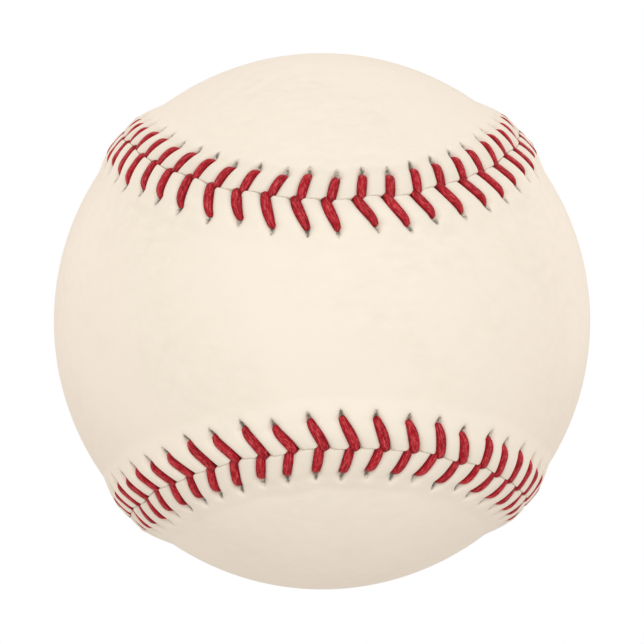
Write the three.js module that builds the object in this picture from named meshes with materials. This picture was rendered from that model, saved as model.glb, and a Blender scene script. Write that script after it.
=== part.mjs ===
// A hand-sewn baseball, modelled as the separate pieces it is made of.
// From the middle outwards: a cork and rubber core, two black rubber cups with a sealing washer between
// their rims, two red rubber cups, three wool windings, a cotton winding, and a cover of two leather
// panels that one red thread laces together.
// Millimetres, +Z up, the ball's centre at the origin. The waist of the front panel faces -Y, so the
// seams above and below that waist run left and right, along X.

import * as THREE from "three";

// Ball and cover
const BALL_DIAMETER = 73.4; // over the plain leather, away from the raised seam
const COVER_THICKNESS = 1.2;
const WAIST_WIDTH = 31.4; // a panel at its narrowest, along the surface from seam to seam
const SEAM_RIPPLE = 0.0103; // of the seam to either side of its plain curve, as a share of the radius
const COVER_CLEARANCE = 0.45; // under the leather, which is flat between the corners of its faces
const SEAM_GAP = 0.3; // between the two leather edges
const RAISED_WIDTH = 6.5; // from the seam line to where the leather lies flat again
const SEAM_LIFT = 0.7; // of the leather by the thread that runs underneath it
const GROOVE_DEPTH = 0.2; // pressed into the leather by each leg of the thread
const PILLOW_RISE = 0.35; // of the leather that swells between two legs
const EDGE_DIP = 0.4; // of the leather's rounded edge

// Stitches
const STITCH_COUNT = 108; // along the whole seam, each with a leg on either panel
const STITCH_PHASE = 0.31; // of the first stitch, as a share of the stitch pitch
const HOLE_INSET = 3.5; // from the seam line to the middle of a hole
const HOLE_TRAIL = 0.33; // of the holes behind the point of their stitch, as a share of the pitch
const CROSSING_LEAD = 0.18; // of the front leg past that point, and of the rear leg behind it
const THREAD_WIDTH = 1.2;
const THREAD_THICKNESS = 0.7;
const THREAD_SQUEEZE = 0.6; // share of the width that is left where the thread is pulled into the cover
const THREAD_TOP_SHARE = 0.6; // share of the width across the thread's rounded outer side
const THREAD_CLEARANCE = 0.12;
const TUCKED_SHARE = 0.4; // of a run under the leather that hides each end of the thread

// Windings, from the outside in; the first winding fills what is left around the pill
const LAYER_CLEARANCE = 0.15;
const COTTON_THICKNESS = 0.5;
const THIRD_WINDING_THICKNESS = 2.2;
const SECOND_WINDING_THICKNESS = 1.8;
const TAIL_TUNNEL_DIAMETER = 1.6; // where the tail of each yarn is drawn inwards

// Pill
const CORE_DIAMETER = 20.6;
const BLACK_RUBBER_THICKNESS = 3.9;
const RED_RUBBER_THICKNESS = 2.4;
const WASHER_THICKNESS = 1.0;

// Fineness of the faces
const ROUND_SEGMENTS = 16; // round the axis of each turned piece
const ARC_STEPS = 8; // from pole to pole of each turned piece
const RULE_COUNT = 27; // lines across a panel from seam to seam
const RULE_STEPS = 6; // along each of those lines

// Places within one stitch, as shares of the pitch
const MIDWAY = 0.5; // between two stitches
const PAIR_ORDER = 0.2; // of the two edges of a leg, hole or notch in the order of a ring's corners
const SMALL_SHARE = 0.05; // to measure lengths and directions along the seam by
const SEAM_STEPS = STITCH_COUNT / SMALL_SHARE;

// Sizes that follow from the driving ones
const BALL_RADIUS = BALL_DIAMETER / 2;
const COVER_INNER_RADIUS = BALL_RADIUS - COVER_THICKNESS;
const COTTON_RADIUS = COVER_INNER_RADIUS - COVER_CLEARANCE;
const THIRD_WINDING_RADIUS = COTTON_RADIUS - COTTON_THICKNESS - LAYER_CLEARANCE;
const SECOND_WINDING_RADIUS = THIRD_WINDING_RADIUS - THIRD_WINDING_THICKNESS - LAYER_CLEARANCE;
const FIRST_WINDING_RADIUS = SECOND_WINDING_RADIUS - SECOND_WINDING_THICKNESS - LAYER_CLEARANCE;
const CORE_RADIUS = CORE_DIAMETER / 2;
const BLACK_INNER_RADIUS = CORE_RADIUS + LAYER_CLEARANCE;
const BLACK_OUTER_RADIUS = BLACK_INNER_RADIUS + BLACK_RUBBER_THICKNESS;
const RED_INNER_RADIUS = BLACK_OUTER_RADIUS + LAYER_CLEARANCE;
const RED_OUTER_RADIUS = RED_INNER_RADIUS + RED_RUBBER_THICKNESS;
const PITCH_ANGLE = (2 * Math.PI) / STITCH_COUNT;

// Heights above the inner face of the plain leather
const GROOVE_HEIGHT = SEAM_LIFT + COVER_THICKNESS - GROOVE_DEPTH;
const PILLOW_HEIGHT = SEAM_LIFT + COVER_THICKNESS + PILLOW_RISE;
const LEG_HEIGHT = GROOVE_HEIGHT + THREAD_CLEARANCE + THREAD_THICKNESS / 2;
const SQUEEZED_HALF_WIDTH = (THREAD_WIDTH * THREAD_SQUEEZE) / 2;
const UNDER_HEIGHT = SEAM_LIFT - THREAD_CLEARANCE - (THREAD_THICKNESS * THREAD_SQUEEZE) / 2;

// The seam's shape: the sine of the waist's half angle sets the two harmonics of the curve
const WAIST_SINE = Math.sin(WAIST_WIDTH / BALL_DIAMETER - SEAM_RIPPLE);
const MAJOR_SHARE = (1 + WAIST_SINE) / 2;
const MINOR_SHARE = (1 - WAIST_SINE) / 2;
const SEAM_DEPTH = Math.sqrt(1 - WAIST_SINE * WAIST_SINE);

// The two panels are alike: the rear one is the front one turned a quarter and reflected. `side` is the
// side of the seam that a panel lies on, and `start` the stitch pitches along the seam to its waist.
const FRONT = { side: 1, start: 0 };
const REAR = { side: -1, start: STITCH_COUNT / 4 };

// The plain curve of the seam on a sphere of radius 1, at an angle from 0 to a full turn
function plainCurve(angle) {
  return new THREE.Vector3(
    -(MAJOR_SHARE * Math.sin(angle) + MINOR_SHARE * Math.sin(3 * angle)),
    -SEAM_DEPTH * Math.cos(2 * angle),
    MAJOR_SHARE * Math.cos(angle) - MINOR_SHARE * Math.cos(3 * angle),
  );
}

// The direction of a curve at an angle
function directionOf(curve, angle) {
  const half = PITCH_ANGLE * SMALL_SHARE;
  return curve(angle + half).sub(curve(angle - half)).normalize();
}

// The direction across a curve on the sphere, towards the front panel
function acrossCurve(curve, angle) {
  return new THREE.Vector3().crossVectors(curve(angle), directionOf(curve, angle)).normalize();
}

// The seam line: the plain curve with a ripple of six waves, which fills out the round ends of the panels
function seamPoint(angle) {
  const push = -SEAM_RIPPLE * Math.cos(6 * angle);
  return plainCurve(angle).addScaledVector(acrossCurve(plainCurve, angle), push).normalize();
}

// Lengths along the seam line at equal steps of its angle
const seamLengths = [0];
for (let i = 0; i < SEAM_STEPS; i += 1) {
  const start = seamPoint((2 * Math.PI * i) / SEAM_STEPS);
  const end = seamPoint((2 * Math.PI * (i + 1)) / SEAM_STEPS);
  seamLengths.push(seamLengths[i] + start.distanceTo(end));
}

// The seam angle at a number of stitch pitches along the seam, which are equal lengths of it
function seamAngle(pitches) {
  const turns = Math.floor(pitches / STITCH_COUNT);
  const length = (pitches / STITCH_COUNT - turns) * seamLengths[SEAM_STEPS];
  const step = seamLengths.findLastIndex((reached) => reached <= length);
  const share = (length - seamLengths[step]) / (seamLengths[step + 1] - seamLengths[step]);
  return (2 * Math.PI * (turns * SEAM_STEPS + step + share)) / SEAM_STEPS;
}

// A place beside the seam: `inset` from the seam line into a panel, `height` above the inner face of
// the plain leather
function besideSeam(panel, angle, inset, height) {
  const place = seamPoint(angle);
  const inwards = acrossCurve(seamPoint, angle).multiplyScalar(panel.side);
  const turn = inset / BALL_RADIUS;
  place.multiplyScalar(Math.cos(turn)).addScaledVector(inwards, Math.sin(turn));
  return place.multiplyScalar(COVER_INNER_RADIUS + height);
}

// The seam angle that spans a length along the seam, at an inset into a panel
function angleOfLength(panel, angle, inset, length) {
  const half = PITCH_ANGLE * SMALL_SHARE;
  const before = besideSeam(panel, angle - half, inset, COVER_THICKNESS);
  const after = besideSeam(panel, angle + half, inset, COVER_THICKNESS);
  return (length * 2 * half) / before.distanceTo(after);
}

// The seam angle at the point of a stitch, and at a share of the pitch from it
function stitchAngle(stitch, share = 0) {
  return seamAngle(stitch + STITCH_PHASE + share);
}

// How far a leg lies from the point of its stitch, as a share of the pitch, from seam line to hole
function legShare(panel, inset) {
  const along = Math.min(inset / HOLE_INSET, 1);
  return THREE.MathUtils.lerp(panel.side * CROSSING_LEAD, -HOLE_TRAIL, along);
}

// Collects the corners and triangles of one closed surface
class Surface {
  constructor(flipped) {
    this.flipped = flipped;
    this.places = [];
    this.triangles = [];
  }

  corner(place) {
    this.places.push(place.x, place.y, place.z);
    return this.places.length / 3 - 1;
  }

  triangle(a, b, c) {
    this.triangles.push(a, this.flipped ? c : b, this.flipped ? b : c);
  }

  quad(a, b, c, d) {
    this.triangle(a, b, c);
    this.triangle(a, c, d);
  }

  // Fills the band between two closed rings of { corner, at }, where `at` runs once round STITCH_COUNT
  band(near, far) {
    const reach = (ring, i) => ring[i % ring.length].at + STITCH_COUNT * Math.floor(i / ring.length);
    const corner = (ring, i) => ring[i % ring.length].corner;
    let a = 0;
    let b = 0;
    while (a < near.length || b < far.length) {
      const stepNear = b >= far.length || (a < near.length && reach(near, a + 1) <= reach(far, b + 1));
      if (stepNear) {
        this.triangle(corner(near, a), corner(near, a + 1), corner(far, b));
        a += 1;
      } else {
        this.triangle(corner(near, a), corner(far, b + 1), corner(far, b));
        b += 1;
      }
    }
  }

  // Fills the strip between two open lines of corners, each spread evenly from 0 to 1
  strip(near, far) {
    let a = 0;
    let b = 0;
    while (a < near.length - 1 || b < far.length - 1) {
      const nextNear = (a + 1) / (near.length - 1);
      const nextFar = (b + 1) / (far.length - 1);
      if (b >= far.length - 1 || (a < near.length - 1 && nextNear <= nextFar)) {
        this.triangle(near[a], far[b], near[a + 1]);
        a += 1;
      } else {
        this.triangle(near[a], far[b], far[b + 1]);
        b += 1;
      }
    }
  }

  geometry() {
    const made = new THREE.BufferGeometry();
    made.setAttribute("position", new THREE.Float32BufferAttribute(this.places, 3));
    made.setIndex(this.triangles);
    made.computeVertexNormals();
    return made;
  }
}

// Points of an arc on the sphere between two places that are equally far from the centre
function arcBetween(start, end, steps) {
  const radius = start.length();
  const angle = start.angleTo(end);
  const points = [];
  for (let i = 1; i < steps; i += 1) {
    const share = i / steps;
    const point = start.clone().multiplyScalar(Math.sin((1 - share) * angle));
    point.addScaledVector(end, Math.sin(share * angle));
    points.push(point.setLength(radius));
  }
  return points;
}

// One ring of a panel that follows the stitches: `columns` gives each column's place in its stitch
function stitchRing(surface, panel, columns) {
  const ring = [];
  for (let stitch = 0; stitch < STITCH_COUNT; stitch += 1) {
    for (const column of columns) {
      const middle = stitchAngle(stitch, column.share);
      const angle = middle + column.way * angleOfLength(panel, middle, column.inset, column.halfWidth);
      const place = besideSeam(panel, angle, column.inset, column.height);
      ring.push({ corner: surface.corner(place), at: stitch + column.at });
    }
  }
  return ring;
}

// The two columns at either edge of a leg, a hole or a notch, each `spread` off the middle if they are
// the outer edges of two crossings
function pair(share, inset, halfWidth, height, spread = 0) {
  const common = { inset, halfWidth, height };
  return [
    { ...common, share: share - spread, way: -1, at: -PAIR_ORDER },
    { ...common, share: share + spread, way: 1, at: PAIR_ORDER },
  ];
}

// The column midway between two stitches
function midway(share, inset, height) {
  return { share: share + MIDWAY, inset, halfWidth: 0, height, way: 0, at: MIDWAY };
}

// The flat part of a panel inside the raised border: arcs ruled from the seam on one side to the other.
// Returns the ring of corners where it meets the border.
function flatField(surface, panel, height, reversed) {
  const columns = 2 * RULE_COUNT;
  const ring = [];
  const places = [];
  for (let i = 0; i < columns; i += 1) {
    const pitches = panel.start - STITCH_COUNT / 4 + ((i + 0.5) * STITCH_COUNT) / columns;
    const place = besideSeam(panel, seamAngle(pitches), RAISED_WIDTH, height);
    const at = pitches - STITCH_PHASE + HOLE_TRAIL;
    places.push(place);
    ring.push({ corner: surface.corner(place), at: THREE.MathUtils.euclideanModulo(at, STITCH_COUNT) });
  }
  const lines = [];
  for (let i = 0; i < RULE_COUNT; i += 1) {
    const j = columns - 1 - i;
    const isTip = i === 0 || i === RULE_COUNT - 1;
    const between = isTip ? [] : arcBetween(places[i], places[j], RULE_STEPS);
    lines.push([ring[i].corner, ...between.map((place) => surface.corner(place)), ring[j].corner]);
  }
  for (let i = 0; i + 1 < RULE_COUNT; i += 1) {
    if (reversed) surface.strip(lines[i + 1], lines[i]);
    else surface.strip(lines[i], lines[i + 1]);
  }
  return ring.sort((a, b) => a.at - b.at);
}

// A figure-eight leather panel: its flat field, and a raised border with a hole for each stitch, a
// groove under each leg, a pillow between legs and notches in the edge where the thread goes down
function coverPanel(panel) {
  const surface = new Surface(panel.side < 0);
  const holeHalfWidth = THREAD_WIDTH / 2 + THREAD_CLEARANCE;
  const holeHalfLength = THREAD_THICKNESS / 2 + THREAD_CLEARANCE;
  const notchInset = THREAD_THICKNESS / 2 + THREAD_CLEARANCE;
  const notchHalfWidth = SQUEEZED_HALF_WIDTH + THREAD_CLEARANCE;
  const pillowInset = HOLE_INSET / 2;
  const beforeHole = HOLE_INSET - holeHalfLength;
  const afterHole = HOLE_INSET + holeHalfLength;
  const legPair = (inset, height) => pair(legShare(panel, inset), inset, holeHalfWidth, height);
  const notchPair = (height) => pair(0, notchInset, notchHalfWidth, height, CROSSING_LEAD);

  const edgeTop = stitchRing(surface, panel, [
    ...notchPair(GROOVE_HEIGHT - EDGE_DIP),
    midway(0, SEAM_GAP / 2, PILLOW_HEIGHT - EDGE_DIP),
  ]);
  const pillows = stitchRing(surface, panel, [
    ...legPair(pillowInset, GROOVE_HEIGHT),
    midway(legShare(panel, pillowInset), pillowInset, PILLOW_HEIGHT),
  ]);
  const holeNear = stitchRing(surface, panel, legPair(beforeHole, GROOVE_HEIGHT));
  const holeFar = stitchRing(surface, panel, legPair(afterHole, GROOVE_HEIGHT));
  const fieldTop = flatField(surface, panel, COVER_THICKNESS, false);

  const edgeUnder = stitchRing(surface, panel, notchPair(SEAM_LIFT));
  const holeNearUnder = stitchRing(surface, panel, legPair(beforeHole, SEAM_LIFT));
  const holeFarUnder = stitchRing(surface, panel, legPair(afterHole, SEAM_LIFT));
  const fieldUnder = flatField(surface, panel, 0, true);

  surface.band(edgeUnder, edgeTop);
  surface.band(edgeTop, pillows);
  surface.band(pillows, holeNear);
  surface.band(holeFar, fieldTop);
  surface.band(holeNearUnder, edgeUnder);
  surface.band(fieldUnder, holeFarUnder);
  sewingHoles(surface, [holeNear, holeFar], [holeNearUnder, holeFarUnder]);
  return surface.geometry();
}

// The walls of the holes, and the leather between one hole and the next on both faces
function sewingHoles(surface, [near, far], [nearUnder, farUnder]) {
  for (let stitch = 0; stitch < STITCH_COUNT; stitch += 1) {
    const left = 2 * stitch;
    const right = left + 1;
    const next = (left + 2) % near.length;
    const top = [near[left], near[right], far[right], far[left]];
    const under = [nearUnder[left], nearUnder[right], farUnder[right], farUnder[left]];
    for (let i = 0; i < top.length; i += 1) {
      const j = (i + 1) % top.length;
      surface.quad(top[i].corner, top[j].corner, under[j].corner, under[i].corner);
    }
    surface.quad(near[right].corner, near[next].corner, far[next].corner, far[right].corner);
    surface.quad(
      nearUnder[right].corner,
      farUnder[right].corner,
      farUnder[next].corner,
      nearUnder[next].corner,
    );
  }
}

// A bend of the thread, with the seam's direction there, to lay the thread's flat side by
function threadBend(panel, angle, inset, height, squeeze) {
  return {
    place: besideSeam(panel, angle, inset, height),
    tangent: directionOf(seamPoint, angle),
    halfWidth: (THREAD_WIDTH * squeeze) / 2,
    halfThickness: (THREAD_THICKNESS * squeeze) / 2,
  };
}

// The bends of one end of the thread as it is sewn: up through a hole, over the leather to the seam,
// down between the edges, and under the other panel to the next hole
function sewnRun(firstPanel) {
  const bends = [];
  let panel = firstPanel;
  for (let stitch = 0; stitch < STITCH_COUNT; stitch += 1) {
    const hole = stitchAngle(stitch, -HOLE_TRAIL);
    const crossing = stitchAngle(stitch, panel.side * CROSSING_LEAD);
    bends.push(threadBend(panel, hole, HOLE_INSET, UNDER_HEIGHT, THREAD_SQUEEZE));
    bends.push(threadBend(panel, hole, HOLE_INSET, LEG_HEIGHT, 1));
    bends.push({ ...threadBend(panel, crossing, 0, LEG_HEIGHT, 1), halfWidth: SQUEEZED_HALF_WIDTH });
    bends.push(threadBend(panel, crossing, 0, UNDER_HEIGHT, THREAD_SQUEEZE));
    panel = panel === FRONT ? REAR : FRONT;
  }
  const last = bends[bends.length - 1];
  const nextHole = threadBend(panel, stitchAngle(STITCH_COUNT, -HOLE_TRAIL), HOLE_INSET, UNDER_HEIGHT, 1);
  bends.push({ ...last, place: last.place.clone().lerp(nextHole.place, TUCKED_SHARE) });
  return bends;
}

// The whole thread: sewn from its middle with both ends, so one run is followed backwards, across under
// the seam at the first stitch, and then the other run forwards
function threadBends() {
  const across = threadBend(FRONT, stitchAngle(0, -MIDWAY), 0, UNDER_HEIGHT, THREAD_SQUEEZE);
  return [...sewnRun(FRONT).reverse(), across, ...sewnRun(REAR)];
}

// The thread's width and thickness axes at a bend, slid along the run onto the plane that halves the bend
function sectionAxes(run, tangent, plane) {
  const width = tangent.clone().addScaledVector(run, -tangent.dot(run)).normalize();
  const thickness = new THREE.Vector3().crossVectors(run, width);
  for (const axis of [width, thickness]) axis.addScaledVector(run, -axis.dot(plane) / run.dot(plane));
  return { width, thickness };
}

// One unbroken tube with four sides, wide where it lies on the leather and narrower outside
function stitchThread(bends) {
  const surface = new Surface(false);
  const rings = bends.map((bend, i) => {
    const before = bends[Math.max(i - 1, 0)].place;
    const after = bends[Math.min(i + 1, bends.length - 1)].place;
    const runs = [bend.place.clone().sub(before), after.clone().sub(bend.place)];
    const [runIn, runOut] = runs.map((run, k) => (run.lengthSq() > 0 ? run : runs[1 - k]).normalize());
    const plane = runIn.clone().add(runOut).normalize();
    const axesIn = sectionAxes(runIn, bend.tangent, plane);
    const axesOut = sectionAxes(runOut, bend.tangent, plane);
    const width = axesIn.width.add(axesOut.width).multiplyScalar(bend.halfWidth / 2);
    const thickness = axesIn.thickness.add(axesOut.thickness).multiplyScalar(bend.halfThickness / 2);
    const outside = thickness.dot(runIn.clone().sub(runOut)) > 0 ? 1 : -1;
    const share = (way) => (way === outside ? THREAD_TOP_SHARE : 1);
    const corner = (across, way) => {
      const place = bend.place.clone().addScaledVector(width, across * share(way));
      return surface.corner(place.addScaledVector(thickness, way));
    };
    return [corner(1, 1), corner(-1, 1), corner(-1, -1), corner(1, -1)];
  });
  for (let i = 0; i + 1 < rings.length; i += 1) {
    for (let k = 0; k < 4; k += 1) {
      const next = (k + 1) % 4;
      surface.quad(rings[i][k], rings[i][next], rings[i + 1][next], rings[i + 1][k]);
    }
  }
  const last = rings[rings.length - 1];
  surface.quad(rings[0][3], rings[0][2], rings[0][1], rings[0][0]);
  surface.quad(last[0], last[1], last[2], last[3]);
  return surface.geometry();
}

// The thread's length, and the least gap between two runs of it that aren't neighbours
function measureThread(bends) {
  const samplesPerRun = 3;
  const samples = [];
  let length = 0;
  for (let i = 0; i + 1 < bends.length; i += 1) {
    length += bends[i].place.distanceTo(bends[i + 1].place);
    for (let k = 0; k < samplesPerRun; k += 1) {
      const share = k / samplesPerRun;
      const place = bends[i].place.clone().lerp(bends[i + 1].place, share);
      samples.push({ place, half: THREE.MathUtils.lerp(bends[i].halfWidth, bends[i + 1].halfWidth, share) });
    }
  }
  const neighbours = 3 * samplesPerRun;
  let gap = Infinity;
  for (let i = 0; i < samples.length; i += 1) {
    for (let j = i + neighbours; j < samples.length; j += 1) {
      const apart = samples[i].place.distanceTo(samples[j].place) - samples[i].half - samples[j].half;
      gap = Math.min(gap, apart);
    }
  }
  return { length, gap };
}

// Points of a turned profile along a circle, from one angle off the axis to another
function arcProfile(radius, from, to, steps) {
  const points = [];
  for (let i = 0; i <= steps; i += 1) {
    const angle = THREE.MathUtils.lerp(from, to, i / steps);
    points.push(new THREE.Vector2(radius * Math.sin(angle), radius * Math.cos(angle)));
  }
  return points;
}

// A profile turned about the line through the middles of the two waists, the Y axis
function turned(profile) {
  return new THREE.LatheGeometry(profile, ROUND_SEGMENTS);
}

// A wound layer: a shell with one narrow tunnel, where the tail of its yarn is drawn inwards
function windingLayer(outerRadius, innerRadius) {
  const tunnelRadius = TAIL_TUNNEL_DIAMETER / 2;
  const outer = arcProfile(outerRadius, 0, Math.PI, ARC_STEPS);
  const inner = arcProfile(innerRadius, 0, Math.PI, ARC_STEPS);
  outer[0] = arcProfile(outerRadius, Math.asin(tunnelRadius / outerRadius), Math.PI, 1)[0];
  inner[0] = arcProfile(innerRadius, Math.asin(tunnelRadius / innerRadius), Math.PI, 1)[0];
  return turned([...inner, ...outer.reverse(), inner[0]]);
}

// Half of a hollow ball, open towards -Y, whose rim stands clear of the middle plane
function rubberCup(outerRadius, innerRadius, rimHeight) {
  const quarterSteps = ARC_STEPS / 2;
  const outer = arcProfile(outerRadius, 0, Math.acos(rimHeight / outerRadius), quarterSteps);
  const inner = arcProfile(innerRadius, 0, Math.acos(rimHeight / innerRadius), quarterSteps);
  return turned([...outer, ...inner.reverse()].reverse());
}

// The washer between the rims of the black cups
function sealingWasher() {
  const half = WASHER_THICKNESS / 2;
  const inside = BLACK_INNER_RADIUS;
  const outside = Math.sqrt(BLACK_OUTER_RADIUS * BLACK_OUTER_RADIUS - half * half);
  const corners = [
    [inside, -half],
    [outside, -half],
    [outside, half],
    [inside, half],
    [inside, -half],
  ];
  return turned(corners.map(([x, y]) => new THREE.Vector2(x, y)));
}

const leather = new THREE.MeshStandardMaterial({ color: 0xf5ead6, roughness: 0.55, metalness: 0 });
const redThread = new THREE.MeshStandardMaterial({ color: 0xb5222f, roughness: 0.5, metalness: 0 });
const cork = new THREE.MeshStandardMaterial({ color: 0x9c7650, roughness: 0.9, metalness: 0 });
const blackRubber = new THREE.MeshStandardMaterial({ color: 0x1e1e20, roughness: 0.7, metalness: 0 });
const redRubber = new THREE.MeshStandardMaterial({ color: 0x9e352c, roughness: 0.65, metalness: 0 });
const greyWool = new THREE.MeshStandardMaterial({ color: 0x8d8c88, roughness: 0.95, metalness: 0 });
const whiteWool = new THREE.MeshStandardMaterial({ color: 0xe4dfd2, roughness: 0.95, metalness: 0 });
const cotton = new THREE.MeshStandardMaterial({ color: 0xf0ece0, roughness: 0.9, metalness: 0 });

const baseball = new THREE.Group();

function add(parent, name, geometry, material) {
  const mesh = new THREE.Mesh(geometry, material);
  mesh.name = name;
  parent.add(mesh);
  return mesh;
}

// The pill
const pill = new THREE.Group();
baseball.add(pill);
const blackRim = WASHER_THICKNESS / 2 + LAYER_CLEARANCE;
const redRim = LAYER_CLEARANCE / 2;
add(pill, "cork_core", turned(arcProfile(CORE_RADIUS, 0, Math.PI, ARC_STEPS).reverse()), cork);
add(pill, "black_rubber_cup_rear", rubberCup(BLACK_OUTER_RADIUS, BLACK_INNER_RADIUS, blackRim), blackRubber);
const frontBlack = rubberCup(BLACK_OUTER_RADIUS, BLACK_INNER_RADIUS, blackRim);
add(pill, "black_rubber_cup_front", frontBlack, blackRubber).rotation.x = Math.PI;
add(pill, "sealing_washer", sealingWasher(), redRubber);
add(pill, "red_rubber_cup_rear", rubberCup(RED_OUTER_RADIUS, RED_INNER_RADIUS, redRim), redRubber);
const frontRed = rubberCup(RED_OUTER_RADIUS, RED_INNER_RADIUS, redRim);
add(pill, "red_rubber_cup_front", frontRed, redRubber).rotation.x = Math.PI;

// The windings
const windings = new THREE.Group();
baseball.add(windings);
const firstInside = RED_OUTER_RADIUS + LAYER_CLEARANCE;
const secondInside = SECOND_WINDING_RADIUS - SECOND_WINDING_THICKNESS;
const thirdInside = THIRD_WINDING_RADIUS - THIRD_WINDING_THICKNESS;
const cottonInside = COTTON_RADIUS - COTTON_THICKNESS;
add(windings, "first_wool_winding", windingLayer(FIRST_WINDING_RADIUS, firstInside), greyWool);
add(windings, "second_wool_winding", windingLayer(SECOND_WINDING_RADIUS, secondInside), whiteWool);
add(windings, "third_wool_winding", windingLayer(THIRD_WINDING_RADIUS, thirdInside), greyWool);
add(windings, "cotton_winding", windingLayer(COTTON_RADIUS, cottonInside), cotton);

// The cover and its thread
const cover = new THREE.Group();
baseball.add(cover);
add(cover, "cover_panel_front", coverPanel(FRONT), leather);
add(cover, "cover_panel_rear", coverPanel(REAR), leather);
const bends = threadBends();
add(cover, "stitch_thread", stitchThread(bends), redThread);

const measured = measureThread(bends);
console.log(`thread: ${measured.length.toFixed(0)} mm long, least gap to itself ${measured.gap.toFixed(2)} mm`);

export default baseball;
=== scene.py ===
"""Dresses the baseball: a laced leather cover, its windings and its pill, on a white stage."""

import math

import bpy
import numpy as np
from bpy.props import FloatProperty, FloatVectorProperty, IntProperty, PointerProperty
from mathutils import Matrix, Vector


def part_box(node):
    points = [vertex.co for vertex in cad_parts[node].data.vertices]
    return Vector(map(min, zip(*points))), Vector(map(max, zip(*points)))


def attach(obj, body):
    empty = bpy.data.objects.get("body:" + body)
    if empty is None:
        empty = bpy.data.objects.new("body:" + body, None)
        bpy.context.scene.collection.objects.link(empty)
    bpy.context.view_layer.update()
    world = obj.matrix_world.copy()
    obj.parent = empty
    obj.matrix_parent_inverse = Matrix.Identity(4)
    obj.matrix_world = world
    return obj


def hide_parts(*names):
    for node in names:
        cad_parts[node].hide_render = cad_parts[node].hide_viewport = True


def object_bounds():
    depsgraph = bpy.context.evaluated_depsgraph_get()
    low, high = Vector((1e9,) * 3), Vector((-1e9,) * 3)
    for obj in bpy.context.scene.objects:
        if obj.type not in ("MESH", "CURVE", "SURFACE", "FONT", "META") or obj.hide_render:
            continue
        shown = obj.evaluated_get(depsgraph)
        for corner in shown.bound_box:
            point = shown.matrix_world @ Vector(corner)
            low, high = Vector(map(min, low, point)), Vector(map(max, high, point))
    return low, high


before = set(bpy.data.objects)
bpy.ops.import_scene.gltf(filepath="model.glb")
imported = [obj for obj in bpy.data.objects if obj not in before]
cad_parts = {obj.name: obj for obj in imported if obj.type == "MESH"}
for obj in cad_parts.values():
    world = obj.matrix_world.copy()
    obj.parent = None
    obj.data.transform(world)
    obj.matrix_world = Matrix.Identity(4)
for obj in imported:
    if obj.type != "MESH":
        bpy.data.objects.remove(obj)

bl_info = {
    "name": "Baseball",
    "version": (1, 0, 0),
    "blender": (4, 5, 0),
    "location": "View3D > Sidebar > Baseball",
    "description": "Builds a stitched leather baseball around its packed frame",
    "category": "Mesh",
}

CAD_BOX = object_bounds()
MM = 0.001
FULL_TURN = 2 * math.pi
SEAM_PITCH = 3.7 * MM  # a usual step between stitches
SEAM_STEPS = 20000  # to measure the seam's length by
SMALL_TURN = 0.001  # to measure the seam's direction by

# Waves of the seam round the ball
RIPPLE_WAVES = 6
FIRST_WOBBLE_WAVES = 31
SECOND_WOBBLE_WAVES = 47
SECOND_WOBBLE_LEAD = 2  # in radians
DRIFT_WAVES = 4

# Hand sewing
FRONT_HOLE_SEED = 11
REAR_HOLE_SEED = 12
STEEP_STITCH = 7  # in the middle of the steeper stretch
STEEP_SPREAD = 4  # of the steeper stretch, in stitches

# Legs of the thread, along which 0 is the hole and 1 is the seam
ARCH_LEAN = 0.7  # power of the way along, which moves the top of the arch towards the hole
FULL_LEAN = 1.15  # power of the way along, which moves the fullest place towards the seam
FULL_POWER = 0.8  # of the half wave of fullness
LEG_OVERLAP = 0.1 * MM  # past the seam line
CROSSING_RISE = 0.22 * MM  # of a front leg at the seam, where it crosses the rear ones
CROSSING_START = 0.5  # where a leg begins to rise and turn for the crossing
CROSSING_SPAN = 0.4
HOLE_DIP = 0.3 * MM  # of a leg's end into its hole
HOLE_DIP_SPAN = 0.16
SUNK_SPAN = 0.18  # at the seam, where a leg goes down

# Thread between the legs
START_PLACE = -0.5  # of the thread's middle, in pitches from the first stitch
HOLE_PASS_DEPTH = 0.5 * MM  # of the thread's centre in a hole, below the plain ball
SEAM_PASS_DEPTH = 0.3 * MM  # of the thread's centre between the edges, below the plain ball
PASS_SHARE = 0.75  # of the thread's size that is left where it goes through
SEAM_PASS_WIDTH = 0.8  # of the thread's width that is left between the edges
UNDER_SHARE = 0.62  # of the thread's size that is left under the leather
CREASE_WANDER = 0.45  # of the crease to either side, in half widths
CREASE_STEP = 1.7 * MM  # along the thread to one radian of wandering
CREASE_DEPTH = 0.2  # as a share of the half thickness
CREASE_WIDTH = 0.3  # in half widths

# Relief of the leather
DOME_POWER = 1.5  # of the fall from the crest to the flat leather
SWELL_POWER = 3.2  # of the fall from a pillow to its groove
SLANT_PAST_HOLE = 0.3  # share of a leg's slant that its groove keeps past the hole
GROOVE_DEPTH = 0.48  # below a leg's centre, in thread thicknesses
GROOVE_FLOOR = 0.34  # half of the level floor, in leg widths
FLOOR_TAPER = 0.9  # share of the floor's width that is lost past the hole
DENT_TAPER = 0.65  # share of the dent's width that is lost at its end
DENT_START = 0.4 * MM  # of the dent before its hole
NOTCH_END = 0.232  # from the middle of a notch to where it has closed, in pitches
NOTCH_SLOPE = 0.16  # over which a notch closes, in pitches
LEAST_GAP = 0.05  # between the edges, as a share of the notch
NOTCH_REACH = 2.2 * MM  # from the edge to where the leather isn't pushed aside
# Painted shade in the seam's gap: a thin grey line along the edge
SEAM_LINE_SHADE = 0.22  # strength at the very edge
SEAM_LINE_SHADE_WIDTH = 0.14 * MM
LEVEL_LIFT = 0.6  # share of the raised width where the inner face stays lifted

# Layout of the panels' grids
BORDER_REACH = 1.06  # in raised widths
ROW_CROWDING = 0.28  # of the border's rows towards the edge
SPINE_REACH = 0.86  # of a panel's middle line, as a share of the panel's length

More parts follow.
